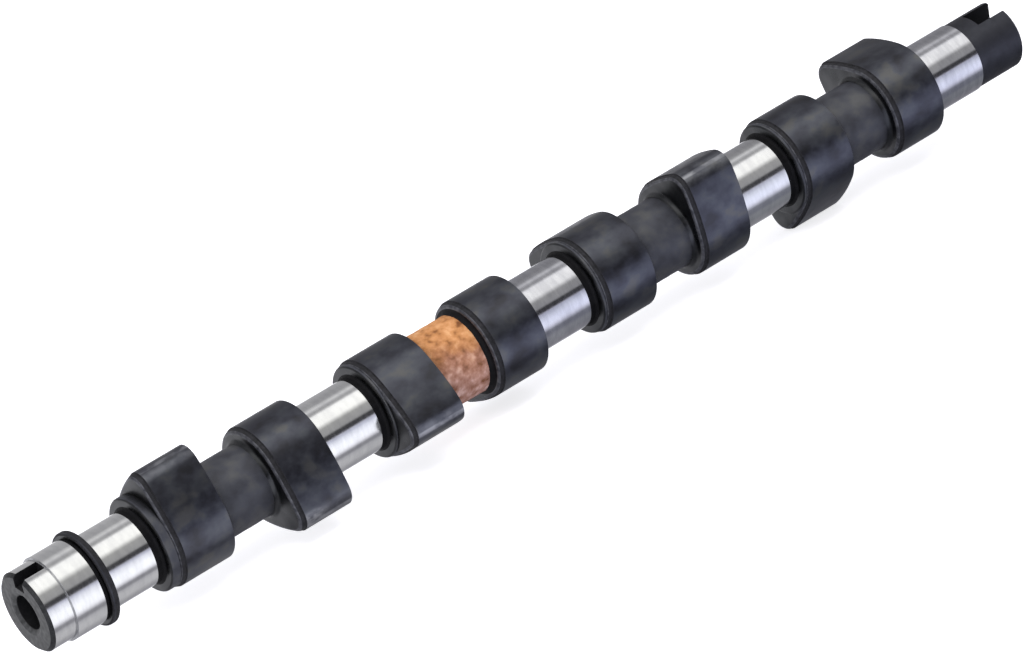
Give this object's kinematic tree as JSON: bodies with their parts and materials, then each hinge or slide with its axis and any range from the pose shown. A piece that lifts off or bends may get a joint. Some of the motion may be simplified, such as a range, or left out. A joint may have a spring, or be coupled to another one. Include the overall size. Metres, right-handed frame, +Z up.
{
  "type": "camshaft",
  "caption": "One-piece overhead camshaft: paired egg-shaped lobes between bright bearing journals, a keyed nose with a thrust flange, and a slotted rear end.",
  "frame": {"origin": "centre of the nose end face, on the shaft's axis", "axes": "+X along the shaft from the keyed nose to the slotted rear end, +Z up as the shaft lies on its lobes"},
  "size_m": [0.4168, 0.048, 0.048],
  "materials": {
    "cast_iron": "ground and polished journals and nose, black phosphated lobes and webs, one web left rough and rusty"
  },
  "bodies": {
    "root": {"camshaft": "cast_iron"}
  },
  "joints": []
}
